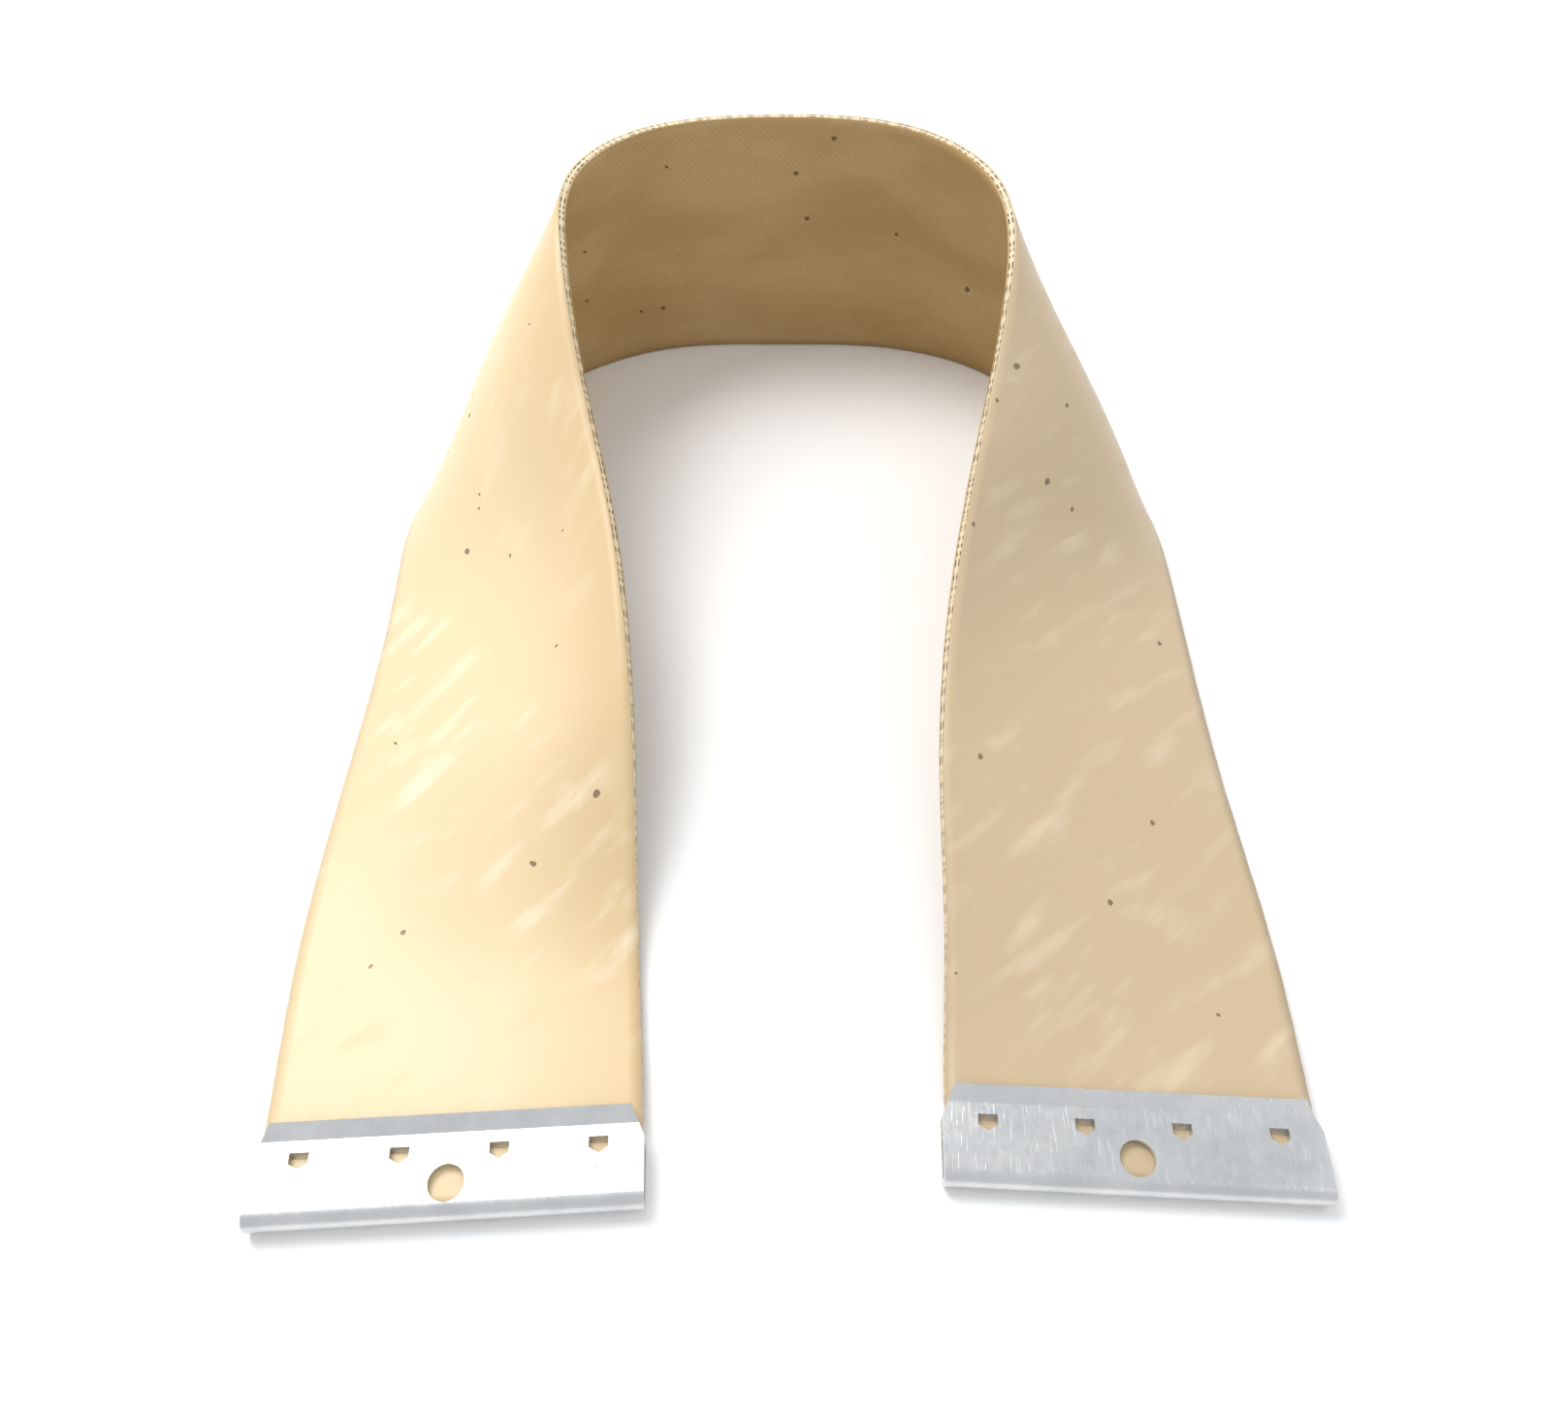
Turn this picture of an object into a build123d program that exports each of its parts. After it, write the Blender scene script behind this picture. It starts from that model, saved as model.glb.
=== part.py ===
from build123d import *
import math
import os

os.makedirs("parts", exist_ok=True)

# A looped length of rubber webbing with a crimped steel end clip on each end.
# Millimetres. X runs from the left clip to the right clip, Y from the clips to the top
# of the loop, Z up. The origin is the middle of the footprint, on the table.

# Strap: two plies of cord laid on the bias, bonded between layers of rubber.
STRAP_WIDTH = 50.0
COVER_THICKNESS = 0.30
PLY_THICKNESS = 0.25
CORE_THICKNESS = 0.40
BOND_CLEARANCE = 0.02
TABLE_CLEARANCE = 0.25

# End clip: one folded steel plate that grips the strap between its two halves.
CLIP_SIDE_CLEARANCE = 0.5
CLIP_DEPTH = 13.0
PLATE_THICKNESS = 1.0
CLIP_CLEARANCE = 0.10
CORNER_ACROSS = 2.0
CORNER_ALONG = 4.0
CORNER_RADIUS = 1.5
LIP_LENGTH = 2.3
LIP_RISE = 0.8

# Screw hole in the upper plate.
SCREW_HOLE_DIAMETER = 4.8
SCREW_HOLE_SETBACK = 4.3

# Teeth: tongues pierced out of the upper plate and bent down into the rubber.
TOOTH_COUNT = 4
TOOTH_PITCH = 13.0
TOOTH_WIDTH = 2.6
TOOTH_LENGTH = 2.8
TOOTH_SETBACK = 8.4
TOOTH_POINT = 0.8
TOOTH_REACH = 0.7
TOOTH_THICKNESS = 0.6
TOOTH_CLEARANCE = 0.10

# Where each clip lies: the middle of its folded edge, and how far it is turned.
LEFT_CLIP = (-42.9, -94.8, 4.5)
RIGHT_CLIP = (47.0, -89.7, -1.5)

# The strap's way round the loop. Each station has the point where the lower edge stands
# on the table, the direction in which the strap's width leans in over the table, the
# angle between the strap's width and the table, and how far its middle bulges outwards.
STATIONS = [
    (-71.5, -60.0, 5.0, 1.5, 0.0),
    (-72.0, -27.0, 1.0, 17.0, 0.5),
    (-73.0, 15.5, -3.0, 33.0, -1.0),
    (-72.5, 39.0, -8.0, 44.0, 4.0),
    (-60.5, 63.0, -18.0, 67.0, 6.0),
    (-49.5, 80.5, -31.0, 80.0, 2.0),
    (-30.0, 92.5, -54.0, 89.0, 0.5),
    (-3.5, 95.5, -87.0, 93.0, 0.0),
    (21.5, 95.0, -114.0, 89.0, 1.0),
    (42.5, 86.0, -143.0, 79.0, 0.5),
    (55.5, 66.5, -157.0, 67.0, 4.5),
    (67.5, 47.0, -167.0, 47.0, 5.5),
    (71.0, 24.0, -173.0, 34.0, -0.5),
    (71.5, -25.5, -178.0, 16.0, -0.5),
    (73.0, -56.0, 180.0, 6.0, 0.0),
]

# How many curves run along the strap, side by side, to carry its bulge.
CURVES_ACROSS = 7

STRAP_THICKNESS = 2 * COVER_THICKNESS + 2 * PLY_THICKNESS + CORE_THICKNESS + 4 * BOND_CLEARANCE
CLIP_WIDTH = STRAP_WIDTH + 2 * CLIP_SIDE_CLEARANCE
CLIP_GAP = STRAP_THICKNESS + 2 * CLIP_CLEARANCE
CLIP_HEIGHT = CLIP_GAP + 2 * PLATE_THICKNESS
FOLD_RADIUS = CLIP_HEIGHT / 2
UPPER_PLATE_UNDERSIDE = PLATE_THICKNESS + CLIP_GAP
STRAP_END = FOLD_RADIUS + CLIP_CLEARANCE


def clip_place(clip):
    """The place of a clip's own frame: across, along and up from its folded edge."""
    x, y, turn = clip
    return Location((x, y, 0), (0, 0, turn))


def in_clip(clip, across, along, up):
    """A point given in a clip's own frame."""
    return (clip_place(clip) * Location((across, along, up))).position


def clip_stations(clip, outer_side):
    """The strap's two edges where it lies flat in a clip, from its cut end outwards."""
    rows = []
    for along in (STRAP_END, (STRAP_END + CLIP_DEPTH) / 2, CLIP_DEPTH):
        outer = in_clip(clip, outer_side * STRAP_WIDTH / 2, along, FOLD_RADIUS)
        inner = in_clip(clip, -outer_side * STRAP_WIDTH / 2, along, FOLD_RADIUS)
        rows.append((outer, inner, 0))
    return rows


def free_station(x, y, direction, lean, bulge):
    """The strap's lower and upper edge at a station, with the lower edge on the table."""
    heading = math.radians(direction)
    rise = math.radians(lean)
    lower = Vector(x, y, TABLE_CLEARANCE + STRAP_THICKNESS / 2 * abs(math.cos(rise)))
    across = STRAP_WIDTH * math.cos(rise)
    reach = Vector(across * math.cos(heading), across * math.sin(heading), STRAP_WIDTH * math.sin(rise))
    return lower, lower + reach, bulge


def strap_route():
    """Every station from the left clip's end of the strap round to the right clip's end."""
    left = clip_stations(LEFT_CLIP, -1)
    right = clip_stations(RIGHT_CLIP, 1)
    return left + [free_station(*station) for station in STATIONS] + right[::-1]


ROUTE = strap_route()
START_DIRECTION = in_clip(LEFT_CLIP, 0, 1, 0) - in_clip(LEFT_CLIP, 0, 0, 0)
END_DIRECTION = in_clip(RIGHT_CLIP, 0, 0, 0) - in_clip(RIGHT_CLIP, 0, 1, 0)


def route_parameters():
    """How far round the strap each station lies, from 0 to 1."""
    middles = [(lower + upper) / 2 for lower, upper, bulge in ROUTE]
    travelled = [0.0]
    for here, onward in zip(middles, middles[1:]):
        travelled.append(travelled[-1] + (onward - here).length)
    return [distance / travelled[-1] for distance in travelled]


PARAMETERS = route_parameters()


def long_curve(points):
    """A smooth curve along the strap, through one point at each station."""
    return Edge.make_spline(points, tangents=[START_DIRECTION, END_DIRECTION], parameters=PARAMETERS)


def outward_normals():
    """The direction out of the strap's outer face at each station."""
    middle = long_curve([(lower + upper) / 2 for lower, upper, bulge in ROUTE])
    normals = []
    for parameter, (lower, upper, bulge) in zip(PARAMETERS, ROUTE):
        along = middle.tangent_at(parameter, position_mode=PositionMode.PARAMETER)
        normals.append((upper - lower).cross(along).normalized())
    return normals


NORMALS = outward_normals()


def long_curves(height):
    """The curves along the strap, side by side, at a height above its middle surface."""
    curves = []
    for number in range(CURVES_ACROSS):
        share = number / (CURVES_ACROSS - 1)
        crown = 4 * share * (1 - share)
        points = [
            lower + (upper - lower) * share + normal * (bulge * crown + height)
            for (lower, upper, bulge), normal in zip(ROUTE, NORMALS)
        ]
        curves.append(long_curve(points))
    return curves


def strap_surface(curves):
    """The narrow faces between neighbouring curves."""
    return [Face.make_surface_from_curves(curve, beside) for curve, beside in zip(curves, curves[1:])]


def cut_end(under, over, end):
    """The cut end of a layer: 0 at the left clip, 1 at the right clip."""
    corners = [curve @ end for curve in under] + [curve @ end for curve in reversed(over)]
    return Face(Wire.make_polygon(corners))


def strap_layer(bottom, top):
    """One layer of the strap, between two heights above its middle surface."""
    under = long_curves(bottom)
    over = long_curves(top)
    sides = [Face.make_surface_from_curves(under[side], over[side]) for side in (0, -1)]
    ends = [cut_end(under, over, end) for end in (0, 1)]
    layer = Solid(Shell(strap_surface(under) + strap_surface(over) + sides + ends))
    return layer if layer.volume > 0 else -layer


def tooth_positions():
    """Where the teeth lie across the clip."""
    return [TOOTH_PITCH * (number - (TOOTH_COUNT - 1) / 2) for number in range(TOOTH_COUNT)]


def tooth_tongue(clearance):
    """A tongue bent down from the far side of its opening, in the plane at the clip's middle."""
    hinge = TOOTH_SETBACK + TOOTH_LENGTH / 2
    tip = UPPER_PLATE_UNDERSIDE - TOOTH_REACH
    slant = (CLIP_HEIGHT - tip) / 2
    outline = [
        (hinge, CLIP_HEIGHT),
        (hinge, UPPER_PLATE_UNDERSIDE),
        (hinge - slant, tip),
        (hinge - slant - TOOTH_THICKNESS, tip),
        (hinge - TOOTH_THICKNESS, CLIP_HEIGHT),
    ]
    blank = extrude(Plane.YZ * Polygon(*outline, align=None), TOOTH_WIDTH / 2, both=True)
    return offset(blank, clearance, kind=Kind.INTERSECTION) if clearance else blank


def tooth_opening():
    """The hole that a tongue was pierced from, with its point towards the folded edge."""
    near = TOOTH_SETBACK - TOOTH_LENGTH / 2
    far = TOOTH_SETBACK + TOOTH_LENGTH / 2
    side = TOOTH_WIDTH / 2
    outline = [(-side, far), (-side, near + TOOTH_POINT), (0, near), (side, near + TOOTH_POINT), (side, far)]
    sketch = Polygon(*outline, align=None)
    return Pos(0, 0, UPPER_PLATE_UNDERSIDE) * extrude(sketch, PLATE_THICKNESS)


def clip_profile():
    """The side view of the folded plate: lower plate, fold, upper plate and raised lip."""
    inner_radius = CLIP_GAP / 2
    bend = CLIP_DEPTH - LIP_LENGTH
    with BuildSketch(Plane.YZ) as profile:
        with BuildLine():
            Line((CLIP_DEPTH, 0), (FOLD_RADIUS, 0))
            ThreePointArc((FOLD_RADIUS, 0), (0, FOLD_RADIUS), (FOLD_RADIUS, CLIP_HEIGHT))
            Polyline(
                (FOLD_RADIUS, CLIP_HEIGHT),
                (bend, CLIP_HEIGHT),
                (CLIP_DEPTH, CLIP_HEIGHT + LIP_RISE),
                (CLIP_DEPTH + LIP_RISE / 2, CLIP_HEIGHT + LIP_RISE - PLATE_THICKNESS),
                (bend, UPPER_PLATE_UNDERSIDE),
                (FOLD_RADIUS, UPPER_PLATE_UNDERSIDE),
            )
            ThreePointArc(
                (FOLD_RADIUS, UPPER_PLATE_UNDERSIDE),
                (FOLD_RADIUS - inner_radius, FOLD_RADIUS),
                (FOLD_RADIUS, PLATE_THICKNESS),
            )
            Polyline((FOLD_RADIUS, PLATE_THICKNESS), (CLIP_DEPTH, PLATE_THICKNESS), (CLIP_DEPTH, 0))
        make_face()
    return profile.sketch


def clip_outline():
    """The plan view of the plate, with the corners away from the fold cut back."""
    side = CLIP_WIDTH / 2
    mouth = CLIP_DEPTH + LIP_RISE
    shoulder = CLIP_DEPTH - CORNER_ALONG
    corners = [
        (-side, 0),
        (side, 0),
        (side, shoulder),
        (side - CORNER_ACROSS, mouth),
        (CORNER_ACROSS - side, mouth),
        (-side, shoulder),
    ]
    sketch = Polygon(*corners, align=None)
    shoulders = sketch.vertices().filter_by(lambda corner: abs(corner.Y - shoulder) < CLIP_CLEARANCE)
    return extrude(fillet(shoulders, CORNER_RADIUS), CLIP_HEIGHT + LIP_RISE)


def end_clip():
    """One end clip in its own frame, lying on the table with its folded edge at the origin."""
    clip = extrude(clip_profile(), CLIP_WIDTH / 2, both=True) & clip_outline()
    hole = Cylinder(SCREW_HOLE_DIAMETER / 2, PLATE_THICKNESS, align=(Align.CENTER, Align.CENTER, Align.MIN))
    clip -= Pos(0, SCREW_HOLE_SETBACK, UPPER_PLATE_UNDERSIDE) * hole
    for across in tooth_positions():
        clip -= Pos(across, 0, 0) * tooth_opening()
        clip += Pos(across, 0, 0) * tooth_tongue(0)
    return clip


def tooth_pockets():
    """The dents that the teeth of both clips press into the strap."""
    pockets = []
    for clip in (LEFT_CLIP, RIGHT_CLIP):
        for across in tooth_positions():
            pockets.append(clip_place(clip) * Pos(across, 0, 0) * tooth_tongue(TOOTH_CLEARANCE))
    return pockets


def strap_layers():
    """The five bonded layers, from the inner face of the loop to its outer face."""
    stack = [
        ("inner_rubber_cover", COVER_THICKNESS),
        ("inner_cord_ply", PLY_THICKNESS),
        ("rubber_core", CORE_THICKNESS),
        ("outer_cord_ply", PLY_THICKNESS),
        ("outer_rubber_cover", COVER_THICKNESS),
    ]
    deepest = STRAP_THICKNESS / 2 + CLIP_CLEARANCE - TOOTH_REACH - TOOTH_CLEARANCE
    layers = {}
    bottom = -STRAP_THICKNESS / 2
    for name, thickness in stack:
        top = bottom + thickness
        layer = strap_layer(bottom, top)
        layers[name] = layer - tooth_pockets() if top > deepest else layer
        bottom = top + BOND_CLEARANCE
    return layers


def centred(pieces):
    """Every piece moved so that the origin is the middle of the footprint."""
    boxes = [piece.bounding_box() for piece in pieces.values()]
    middle_x = (min(box.min.X for box in boxes) + max(box.max.X for box in boxes)) / 2
    middle_y = (min(box.min.Y for box in boxes) + max(box.max.Y for box in boxes)) / 2
    shift = Pos(-middle_x, -middle_y, 0)
    return {name: shift * piece for name, piece in pieces.items()}


pieces = strap_layers()
pieces["left_end_clip"] = clip_place(LEFT_CLIP) * end_clip()
pieces["right_end_clip"] = clip_place(RIGHT_CLIP) * end_clip()

for name, piece in centred(pieces).items():
    export_step(piece, f"parts/{name}.step")
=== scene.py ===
# %% [markdown]
# # A looped strap of rubber webbing with two steel end clips
#
# The real thing is a cut length of cord-reinforced rubber, as used under the cushions of a
# sprung seat. It is twisted into a standing loop, with a folded steel clip on each end.
# The CAD model gives the sizes and the places. This lesson gives it its look.

# %% Load the CAD frame
import bpy
import math
import numpy as np
from mathutils import Matrix, Vector


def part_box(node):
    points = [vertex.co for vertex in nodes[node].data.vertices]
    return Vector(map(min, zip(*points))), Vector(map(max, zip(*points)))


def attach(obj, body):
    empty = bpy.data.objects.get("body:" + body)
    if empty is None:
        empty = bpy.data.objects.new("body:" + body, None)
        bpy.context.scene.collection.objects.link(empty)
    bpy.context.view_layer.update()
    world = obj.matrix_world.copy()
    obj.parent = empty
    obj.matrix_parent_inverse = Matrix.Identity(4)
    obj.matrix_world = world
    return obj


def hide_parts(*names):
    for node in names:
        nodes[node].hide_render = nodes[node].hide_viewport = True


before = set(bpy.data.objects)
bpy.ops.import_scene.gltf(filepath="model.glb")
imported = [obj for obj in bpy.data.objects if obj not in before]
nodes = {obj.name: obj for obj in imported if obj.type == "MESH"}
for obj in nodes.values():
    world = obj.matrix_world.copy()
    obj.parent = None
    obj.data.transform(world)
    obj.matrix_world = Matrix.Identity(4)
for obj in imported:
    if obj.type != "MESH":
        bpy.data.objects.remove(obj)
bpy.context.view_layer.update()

# %% [markdown]
# ## Sizes of the strap
#
# The webbing is one laminate of five layers: a rubber cover, a cord ply, a rubber core,
# a second ply and a second cover, with a bond line between them. A twisted strap's box
# doesn't give its thickness, so these values are written down as the CAD has them.

# %% Sizes of the strap, in metres
STRAP_WIDTH = 0.050
COVER = 0.00030
PLY = 0.00025
CORE = 0.00040
BOND = 0.00002
STRAP_THICKNESS = 2 * COVER + 2 * PLY + CORE + 4 * BOND
TABLE_GAP = 0.00025
CLIP_DEPTH = 0.013
CLIP_MIDDLE = 0.00189
STRAP_END = 0.00199
print("strap", STRAP_WIDTH, "wide,", round(STRAP_THICKNESS, 5), "thick")

# %% [markdown]
# ## The way the strap lies
#
# A flat strap that is turned over a little along its legs and stood on edge at its loop can
# be written down as stations: where its lower edge stands, which way its width leans, how
# steep it is, and how far its middle bulges. Cloth simulation could find such a shape too,
# but the stations are shorter, always give the same result and match the CAD solid.

# %% Stations round the loop
# A clip: the x and y of the middle of its fold, and its turn in degrees.
# A station: the lower edge's x and y, the width's direction and lean in degrees, the bulge.
LEFT_CLIP = (-0.0429, -0.0948, 4.5)
RIGHT_CLIP = (0.0470, -0.0897, -1.5)
STATIONS = [
    (-0.0715, -0.0600, 5.0, 1.5, 0.0),
    (-0.0720, -0.0270, 1.0, 17.0, 0.0005),
    (-0.0730, 0.0155, -3.0, 33.0, -0.0010),
    (-0.0725, 0.0390, -8.0, 44.0, 0.0040),
    (-0.0605, 0.0630, -18.0, 67.0, 0.0060),
    (-0.0495, 0.0805, -31.0, 80.0, 0.0020),
    (-0.0300, 0.0925, -54.0, 89.0, 0.0005),
    (-0.0035, 0.0955, -87.0, 93.0, 0.0),
    (0.0215, 0.0950, -114.0, 89.0, 0.0010),
    (0.0425, 0.0860, -143.0, 79.0, 0.0005),
    (0.0555, 0.0665, -157.0, 67.0, 0.0045),
    (0.0675, 0.0470, -167.0, 47.0, 0.0055),
    (0.0710, 0.0240, -173.0, 34.0, -0.0005),
    (0.0715, -0.0255, -178.0, 16.0, -0.0005),
    (0.0730, -0.0560, 180.0, 6.0, 0.0),
]


def clip_stations(clip, outer_side):
    x, y, turn = clip
    angle = math.radians(turn)
    across = np.array([math.cos(angle), math.sin(angle), 0.0])
    along = np.array([-math.sin(angle), math.cos(angle), 0.0])
    rows = []
    for distance in (STRAP_END, (STRAP_END + CLIP_DEPTH) / 2, CLIP_DEPTH):
        middle = np.array([x, y, CLIP_MIDDLE]) + along * distance
        edge = across * outer_side * STRAP_WIDTH / 2
        rows.append((middle + edge, middle - edge, 0.0))
    return rows, along


def free_station(x, y, direction, lean, bulge):
    heading = math.radians(direction)
    steepness = math.radians(lean)
    lower = np.array([x, y, TABLE_GAP + STRAP_THICKNESS / 2 * abs(math.cos(steepness))])
    flat = STRAP_WIDTH * math.cos(steepness)
    climb = STRAP_WIDTH * math.sin(steepness)
    reach = np.array([flat * math.cos(heading), flat * math.sin(heading), climb])
    return lower, lower + reach, bulge


left_rows, left_along = clip_stations(LEFT_CLIP, -1)
right_rows, right_along = clip_stations(RIGHT_CLIP, 1)
route = left_rows + [free_station(*station) for station in STATIONS] + right_rows[::-1]
lower_edge = np.array([row[0] for row in route])
upper_edge = np.array([row[1] for row in route])
bulges = np.array([row[2] for row in route])
middles = (lower_edge + upper_edge) / 2
steps = np.linalg.norm(np.diff(middles, axis=0), axis=1)
stops = np.concatenate([[0.0], np.cumsum(steps)])
STRAP_LENGTH = float(stops[-1])
print("stations", len(route), "length", round(STRAP_LENGTH, 4))

# %% [markdown]
# ## One smooth curve through the stations
#
# A cubic curve that passes through every station, and leaves each clip straight, is what a
# springy strap does between its supports. A curve object could come close, but numpy
# solves the exact curve in a few lines, and the whole sheet is then a grid of such curves.


# %% Smooth curve
def smooth_curve(points, places):
    gaps = np.diff(stops)
    slopes = np.diff(points, axis=0) / gaps[:, None]
    count = len(points)
    matrix = np.zeros((count, count))
    right = np.zeros((count, 3))
    matrix[0, :2] = 2 * gaps[0], gaps[0]
    right[0] = 6 * (slopes[0] - left_along)
    matrix[-1, -2:] = gaps[-1], 2 * gaps[-1]
    right[-1] = 6 * (-right_along - slopes[-1])
    for row in range(1, count - 1):
        matrix[row, row - 1:row + 2] = gaps[row - 1], 2 * (gaps[row - 1] + gaps[row]), gaps[row]
        right[row] = 6 * (slopes[row] - slopes[row - 1])
    bends = np.linalg.solve(matrix, right)
    span = np.clip(np.searchsorted(stops, places, side="right") - 1, 0, count - 2)
    width = gaps[span][:, None]
    before = (stops[span + 1] - places)[:, None]
    after = (places - stops[span])[:, None]
    curve = (bends[span] * before**3 + bends[span + 1] * after**3) / (6 * width)
    curve += (points[span] / width - bends[span] * width / 6) * before
    curve += (points[span + 1] / width - bends[span + 1] * width / 6) * after
    return curve


ALONG = 420
ACROSS = 28
places = np.linspace(0.0, STRAP_LENGTH, ALONG + 1)
shares = np.linspace(0.0, 1.0, ACROSS + 1)
tiny = STRAP_LENGTH * 1e-4
station_along = smooth_curve(middles, np.minimum(stops + tiny, STRAP_LENGTH))
station_along -= smooth_curve(middles, np.maximum(stops - tiny, 0.0))
station_normals = np.cross(upper_edge - lower_edge, station_along)
station_normals /= np.linalg.norm(station_normals, axis=1)[:, None]
middle_sheet = np.stack([
    smooth_curve(lower_edge + (upper_edge - lower_edge) * share
                 + station_normals * (bulges * 4 * share * (1 - share))[:, None], places)
    for share in shares
], axis=1)
run = np.gradient(middle_sheet, axis=0)
rise = np.gradient(middle_sheet, axis=1)
sheet_normals = np.cross(rise, run)
sheet_normals /= np.linalg.norm(sheet_normals, axis=2)[:, :, None]
print("sheet", middle_sheet.shape)

# %% [markdown]
# ## Onto the CAD solid
#
# The CAD centres the whole object on its own box, so its strap lies a little to one side of
# these stations. The move could be written down, but taking it from the box of the CAD's
# outer cover keeps the two together when a size changes.

# %% Move the sheet to where the CAD solid lies
cover_low, cover_high = (np.array(corner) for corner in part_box("outer_rubber_cover"))
outer_face = (middle_sheet + sheet_normals * STRAP_THICKNESS / 2).reshape(-1, 3)
shift = (cover_low + cover_high) / 2 - (outer_face.min(0) + outer_face.max(0)) / 2
shift[2] = 0.0
middle_sheet += shift
print("moved by", shift.round(5))

# %% [markdown]
# ## Layers
#
# Each layer is a thin closed solid between two heights over the middle sheet, so that the
# cut edge shows rubber, cord, rubber, cord, rubber, as the real cut edge does. One sheet
# with a thickness would be shorter, but its edge would be a single colour. Two map
# coordinates, metres along and metres across, are kept for the finishes.


# %% Build one layer
KNIFE_SEED = 7
KNIFE_WOBBLE = 0.00004


def strap_layer(name, bottom, top):
    wobble = np.random.default_rng(KNIFE_SEED).normal(0, 1, ALONG + 1)
    wobble = np.convolve(wobble, np.ones(3) / 3, mode="same") * KNIFE_WOBBLE
    sideways = rise / np.linalg.norm(rise, axis=2)[:, :, None]
    faces_at = []
    for height in (bottom, top):
        sheet = middle_sheet + sheet_normals * height
        sheet[:, 0] += sideways[:, 0] * wobble[:, None]
        sheet[:, -1] += sideways[:, -1] * wobble[::-1, None]
        faces_at.append(sheet.reshape(-1, 3))
    vertices = np.concatenate(faces_at)
    offset = (ALONG + 1) * (ACROSS + 1)
    index = np.arange(offset).reshape(ALONG + 1, ACROSS + 1)
    a, b, c, d = index[:-1, :-1], index[1:, :-1], index[1:, 1:], index[:-1, 1:]
    under = np.stack([a, b, c, d], axis=-1).reshape(-1, 4)
    over = np.stack([a, d, c, b], axis=-1).reshape(-1, 4) + offset
    quads = [under, over]
    borders = ((index[:, 0], True), (index[:, -1], False), (index[0], False), (index[-1], True))
    for line, flip in borders:
        near, far = line[:-1], line[1:]
        side = np.stack([near, far, far + offset, near + offset], axis=-1)
        quads.append(side[:, ::-1] if flip else side)
    mesh = bpy.data.meshes.new(name)
    mesh.from_pydata(vertices.tolist(), [], np.concatenate(quads)[:, ::-1].tolist())
    mesh.validate()
    mesh.update()
    mapping = mesh.uv_layers.new(name="strap")
    corner = np.zeros(len(mesh.loops), dtype=np.int32)
    mesh.loops.foreach_get("vertex_index", corner)
    spot = corner % offset
    along = places[spot // (ACROSS + 1)]
    across = shares[spot % (ACROSS + 1)] * STRAP_WIDTH
    coordinates = np.stack([along, across], axis=-1)
    mapping.data.foreach_set("uv", coordinates.astype(np.float32).ravel())
    layer = bpy.data.objects.new(name, mesh)
    bpy.context.collection.objects.link(layer)
    flat_count = len(under) + len(over)
    smooth = np.arange(len(mesh.polygons)) < flat_count
    mesh.polygons.foreach_set("use_smooth", smooth)
    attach(layer, "root")
    return layer


LAYERS = [
    ("inner_rubber_cover", COVER, "inner_rubber"),
    ("inner_cord_ply", PLY, "inner_cord"),
    ("rubber_core", CORE, "core_rubber"),
    ("outer_cord_ply", PLY, "outer_cord"),
    ("outer_rubber_cover", COVER, "outer_rubber"),
]
layers = {}
height = -STRAP_THICKNESS / 2
for node, thickness, material_slot in LAYERS:
    layers[node] = strap_layer("strap_" + node, height, height + thickness)
    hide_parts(node)
    height += thickness + BOND
print("layers", list(layers))

# %% [markdown]
# ## Shader maths
#
# A finish is easier to read as an expression than as a list of links, so one small class
# wraps a socket, and + - * between such values add the Math nodes. Every other node comes
# from one method of the finish.


# %% Socket wrapper
class Value:
    def __init__(self, finish, socket):
        self.finish = finish
        self.socket = socket

    def math(self, operation, other=0.0, swap=False):
        pair = [other, self] if swap else [self, other]
        return self.finish.node("ShaderNodeMath", {"operation": operation}, {0: pair[0], 1: pair[1]})

    def __add__(self, other):
        return self.math("ADD", other)

    def __sub__(self, other):
        return self.math("SUBTRACT", other)

    def __mul__(self, other):
        return self.math("MULTIPLY", other)

    def __rsub__(self, other):
        return self.math("SUBTRACT", other, swap=True)

    __radd__ = __add__
    __rmul__ = __mul__

    def over(self, limit):
        return self.math("GREATER_THAN", limit)

    def fade(self, low, high):
        settings = {"interpolation_type": "SMOOTHSTEP"}
        return self.finish.node("ShaderNodeMapRange", settings, {0: self, 1: low, 2: high})


class Finish:
    def __init__(self, name):
        self.material = bpy.data.materials.new(name)
        self.material.use_nodes = True
        self.tree = self.material.node_tree
        self.shader = self.tree.nodes["Principled BSDF"]

    def node(self, kind, settings=None, inputs=None, output=0):
        made = self.tree.nodes.new(kind)
        for setting, value in (settings or {}).items():
            setattr(made, setting, value)
        self.connect(made, inputs or {})
        return Value(self, made.outputs[output])

    def connect(self, made, inputs):
        for socket, value in inputs.items():
            if isinstance(value, Value):
                self.tree.links.new(value.socket, made.inputs[socket])
            else:
                made.inputs[socket].default_value = value

    def strap_place(self):
        return self.node("ShaderNodeUVMap", {"uv_map": "strap"})

    def axis(self, vector, number):
        return self.node("ShaderNodeSeparateXYZ", {}, {0: vector}, number)

    def mix(self, factor, first, second):
        return self.node("ShaderNodeMix", {"data_type": "RGBA"}, {0: factor, 6: first, 7: second}, 2)

    def scaled(self, vector, scale):
        return self.node("ShaderNodeVectorMath", {"operation": "MULTIPLY"}, {0: vector, 1: scale})

    def noise(self, vector, scale, detail=3.0):
        return self.node("ShaderNodeTexNoise", {}, {"Vector": vector, "Scale": scale, "Detail": detail})

    def bump(self, height, strength, distance):
        sockets = {"Height": height, "Strength": strength, "Distance": distance}
        return self.node("ShaderNodeBump", {}, sockets)

    def set(self, **sockets):
        self.connect(self.shader, {name.replace("_", " "): value for name, value in sockets.items()})


def colour(red, green, blue):
    return (red, green, blue, 1.0)


print("finishes use", Finish.__name__, "and", Value.__name__)

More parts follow.
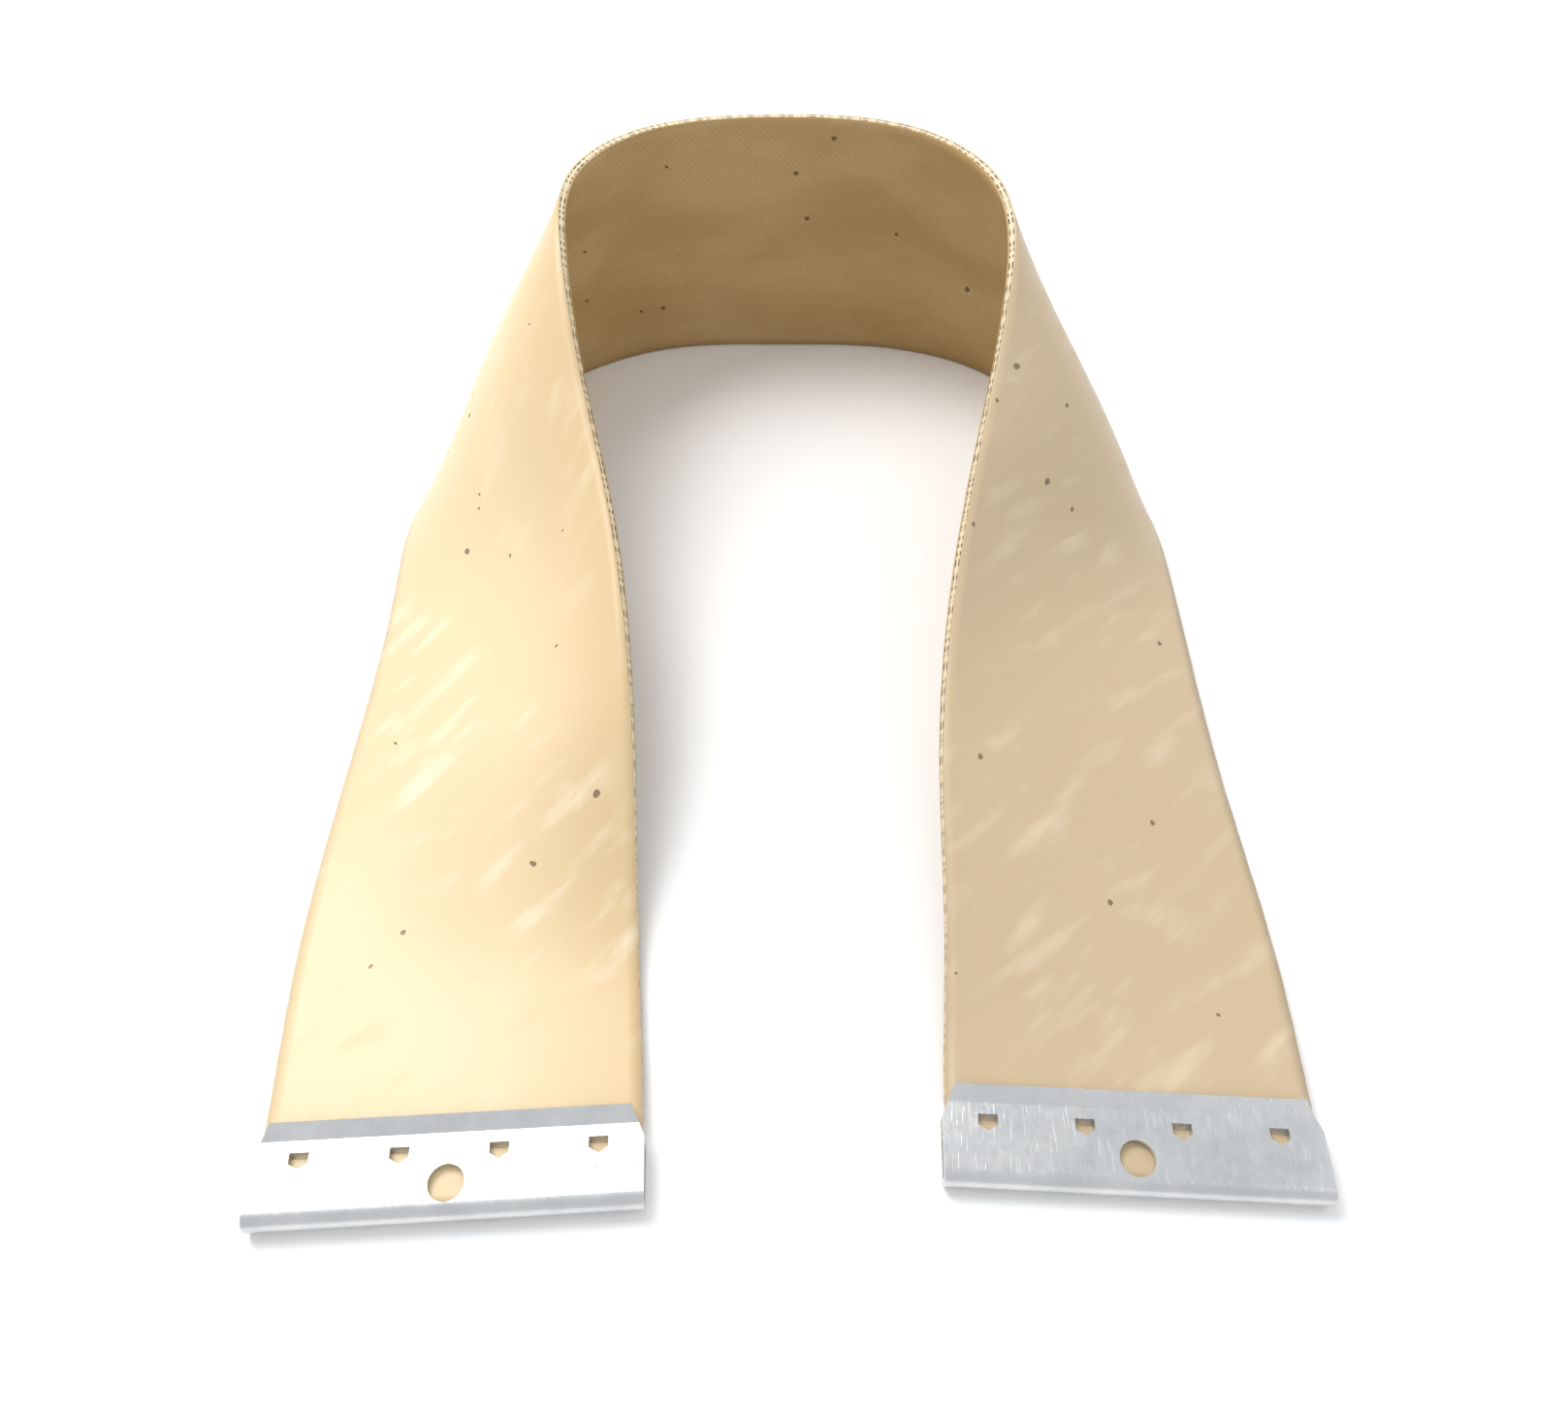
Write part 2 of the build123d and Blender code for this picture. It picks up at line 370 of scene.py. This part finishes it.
# %% [markdown]
# ## The smooth outer rubber
#
# Calendered rubber is even and slightly glossy. Talc from its storage roll stays on it as
# pale, soft streaks. A painted map could carry them, but noise stretched at a slant gives
# the streaks at any size, and a short noise gives the fine tooth of the surface.


# %% Outer rubber
TALC_SLANT = 0.75


def outer_rubber():
    finish = Finish("outer_rubber")
    place = finish.strap_place()
    along = finish.axis(place, 0)
    across = finish.axis(place, 1)
    turn = {"Vector": place, "Angle": TALC_SLANT}
    slanted = finish.node("ShaderNodeVectorRotate", {"rotation_type": "Z_AXIS"}, turn)
    streaks = finish.noise(finish.scaled(slanted, (230.0, 60.0, 1.0)), 1.0, 4.0).fade(0.50, 0.74)
    broad = finish.noise(finish.scaled(place, (9.0, 22.0, 1.0)), 1.0, 2.0).fade(0.3, 0.75)
    grain = finish.noise(place, 5200.0, 2.0)
    specks = finish.noise(place, 420.0, 0.0).over(0.845)
    band = finish.noise(finish.scaled(slanted, (1.0, 26.0, 1.0)), 1.0, 1.0).fade(0.45, 0.60)
    # Painted shade: from 40 to 62 percent of the length on, over the right leg, the rubber is painted a
    # darker taupe.
    right_leg_shade = along.fade(STRAP_LENGTH * 0.40, STRAP_LENGTH * 0.62)
    # Painted shade: from 55 percent of the width to the upper edge, the left leg is painted a darker
    # yellow-brown.
    painted_edge_shade = across.fade(STRAP_WIDTH * 0.55, STRAP_WIDTH) * (1 - right_leg_shade)
    rubber = finish.mix(right_leg_shade, colour(0.80, 0.62, 0.37), colour(0.56, 0.43, 0.27))
    # Mixes the painted edge shade into the rubber colour.
    with_edge_shade = finish.mix(painted_edge_shade * 0.55, rubber, colour(0.60, 0.42, 0.20))
    shaded = finish.mix(broad * 0.28, with_edge_shade, colour(0.56, 0.42, 0.24))
    # The talc streaks are painted fainter on the right leg, as part of its painted shade.
    talc = finish.mix(streaks * band * (0.65 - right_leg_shade * 0.4), shaded, colour(0.90, 0.80, 0.60))
    base = finish.mix(specks * 0.8, talc, colour(0.12, 0.08, 0.04))
    relief = finish.bump(grain + broad * 0.6, 0.10, 0.0002)
    finish.set(Base_Color=base, Roughness=0.40 + streaks * 0.16, Normal=relief)
    finish.set(Specular_IOR_Level=0.45, Sheen_Weight=0.05)
    return finish.material


layers["outer_rubber_cover"].data.materials.append(outer_rubber())
print("outer rubber done")

# %% [markdown]
# ## The inner rubber
#
# On the inside the cords press through the thin cover as a fine slanting twill, and small
# blisters run in a row along its lower third. Both are relief of a tenth of a millimetre,
# which a bump map carries well.


# %% Inner rubber
TWILL_PITCH = 0.0011
BLISTERS_START = (0.012, 0.015)
BLISTERS_END = (0.017, 0.020)


def inner_rubber():
    finish = Finish("inner_rubber")
    place = finish.strap_place()
    along = finish.axis(place, 0)
    across = finish.axis(place, 1)
    cords = ((along + across) * (2 * math.pi / TWILL_PITCH)).math("SINE") * 0.5 + 0.5
    wear = finish.noise(place, 900.0, 3.0)
    blotches = finish.noise(finish.scaled(place, (40.0, 90.0, 1.0)), 1.0, 3.0).fade(0.3, 0.7)
    row = across.fade(*BLISTERS_START) * (1 - across.fade(*BLISTERS_END))
    blisters = finish.noise(place, 480.0, 1.0).fade(0.58, 0.72) * row
    specks = finish.noise(place, 420.0, 0.0).over(0.84)
    rubber = finish.mix(blotches, colour(0.46, 0.30, 0.125), colour(0.54, 0.37, 0.175))
    twill = finish.mix(cords * wear * 0.5, rubber, colour(0.30, 0.19, 0.075))
    base = finish.mix(specks * 0.8, twill, colour(0.07, 0.045, 0.02))
    relief = finish.bump(cords * 0.35 + wear * 0.3 + blisters * 1.6, 0.35, 0.0002)
    finish.set(Base_Color=base, Roughness=0.62, Normal=relief)
    finish.set(Specular_IOR_Level=0.3)
    return finish.material


layers["inner_rubber_cover"].data.materials.append(inner_rubber())
print("inner rubber done")

# %% [markdown]
# ## The cut edge
#
# The knife leaves clean, pale rubber, and each ply shows the dark ends of its cords as a
# dashed line. A noise that is much finer along the strap than across it cuts the line into
# dashes of uneven length.


# %% Core and cords
def core_rubber():
    finish = Finish("core_rubber")
    place = finish.strap_place()
    crumbs = finish.noise(place, 1500.0, 3.0)
    base = finish.mix(crumbs, colour(0.68, 0.54, 0.33), colour(0.86, 0.76, 0.56))
    finish.set(Base_Color=base, Roughness=0.6)
    return finish.material


def cord_ply():
    finish = Finish("cord_ply")
    place = finish.strap_place()
    dashes = finish.noise(finish.scaled(place, (700.0, 20.0, 1.0)), 1.0, 1.0).fade(0.45, 0.56)
    base = finish.mix(dashes, colour(0.76, 0.63, 0.42), colour(0.12, 0.085, 0.05))
    finish.set(Base_Color=base, Roughness=0.75)
    return finish.material


cord_finish = cord_ply()
layers["rubber_core"].data.materials.append(core_rubber())
layers["inner_cord_ply"].data.materials.append(cord_finish)
layers["outer_cord_ply"].data.materials.append(cord_finish)
print("cut edge done")

# %% [markdown]
# ## Zinc-plated steel
#
# Bright zinc is a mirror that has been handled: slightly cloudy crystals, and fine
# scratches that run from the lip to the fold. The plates keep their CAD shape, with edges
# that a small bevel rounds. The clouds change the roughness, and the scratches are long,
# thin noise in the relief.


# %% Clip steel
WORN_EDGE = 0.00012
SHARP_ANGLE = 40


def zinc_steel():
    finish = Finish("zinc_plated_steel")
    place = finish.node("ShaderNodeTexCoord", output="Object")
    clouds = finish.noise(place, 900.0, 3.0)
    patches = finish.noise(place, 160.0, 2.0)
    scratches = finish.noise(finish.scaled(place, (2600.0, 240.0, 2600.0)), 1.0, 2.0).fade(0.55, 0.75)
    base = finish.mix(patches, colour(0.56, 0.57, 0.58), colour(0.80, 0.80, 0.79))
    relief = finish.bump(clouds * 0.4 + scratches * 0.8 + patches * 0.6, 0.22, 0.0001)
    finish.set(Base_Color=base, Metallic=1.0, Roughness=0.20 + clouds * 0.22, Normal=relief)
    return finish.material


steel = zinc_steel()
for node in ("left_end_clip", "right_end_clip"):
    clip = nodes[node]
    for surface in clip.material_slots:
        surface.material = steel
    edges = clip.modifiers.new("worn_edges", "BEVEL")
    edges.width = WORN_EDGE
    edges.segments = 2
    edges.limit_method = "ANGLE"
    edges.angle_limit = math.radians(SHARP_ANGLE)
print("clips done")

# %% [markdown]
# ## The table
#
# The strap lies on a white table. A background colour alone would lose the soft shadows
# that show where the strap touches, so the table is a real plane, far larger than the view.

# %% Table
TABLE_SIZE = 6.0


def white_table():
    finish = Finish("table")
    finish.set(Base_Color=colour(0.93, 0.93, 0.92), Roughness=0.9, Specular_IOR_Level=0.1)
    return finish.material


bpy.ops.mesh.primitive_plane_add(size=TABLE_SIZE, location=(0.0, 0.0, 0.0))
table = bpy.context.object
table.name = "table"
table.data.materials.append(white_table())
print("table", TABLE_SIZE, "wide")

# %% [markdown]
# ## The light
#
# A bright, even room gives most of the light. A soft lamp above the left adds the gentle
# fall from bright to dark over the legs, and a weak one on the right keeps that side from
# going flat. A single hard lamp would cut sharp shadows, which soft rubber doesn't show here.

# %% Light
ROOM_LEVEL = 0.78
MIDDLE = Vector((0.0, 0.0, 0.0))
world = bpy.data.worlds.new("studio")
bpy.context.scene.world = world
world.use_nodes = True
world.node_tree.nodes["Background"].inputs[0].default_value = (0.95, 0.97, 1.0, 1.0)
world.node_tree.nodes["Background"].inputs[1].default_value = ROOM_LEVEL


def soft_light(name, place, size, power):
    lamp = bpy.data.lights.new(name, "AREA")
    lamp.shape = "SQUARE"
    lamp.size = size
    lamp.energy = power
    light = bpy.data.objects.new(name, lamp)
    bpy.context.collection.objects.link(light)
    light.location = place
    light.rotation_euler = (Vector(place) - MIDDLE).to_track_quat("Z", "Y").to_euler()
    print(name, place, power, "W")


soft_light("overhead", (-0.35, 0.35, 0.7), 0.45, 5.5)
soft_light("side", (0.7, -0.1, 0.6), 0.5, 0.8)

# %% [markdown]
# ## The camera
#
# The camera hangs above the clips and looks down over them to the loop, so close that the
# clips look larger than the loop behind them. A long lens further off would flatten that,
# so the lens is a short one.

# %% Camera
CAMERA_PLACE = (-0.0004, -0.1361, 0.164)
CAMERA_DIP = 52.36
CAMERA_ROLL = 1.34
LENS = 27.36
SENSOR = 36.0
camera_data = bpy.data.cameras.new("camera")
camera_data.lens = LENS
camera_data.sensor_width = SENSOR
camera = bpy.data.objects.new("camera", camera_data)
bpy.context.collection.objects.link(camera)
tilt = Matrix.Rotation(math.radians(90 - CAMERA_DIP), 4, "X")
roll = Matrix.Rotation(math.radians(CAMERA_ROLL), 4, "Z")
camera.matrix_world = Matrix.Translation(CAMERA_PLACE) @ tilt @ roll
camera_data.clip_start = 0.005
bpy.context.scene.camera = camera
bpy.context.scene.view_settings.view_transform = "Standard"
print("camera at", CAMERA_PLACE)
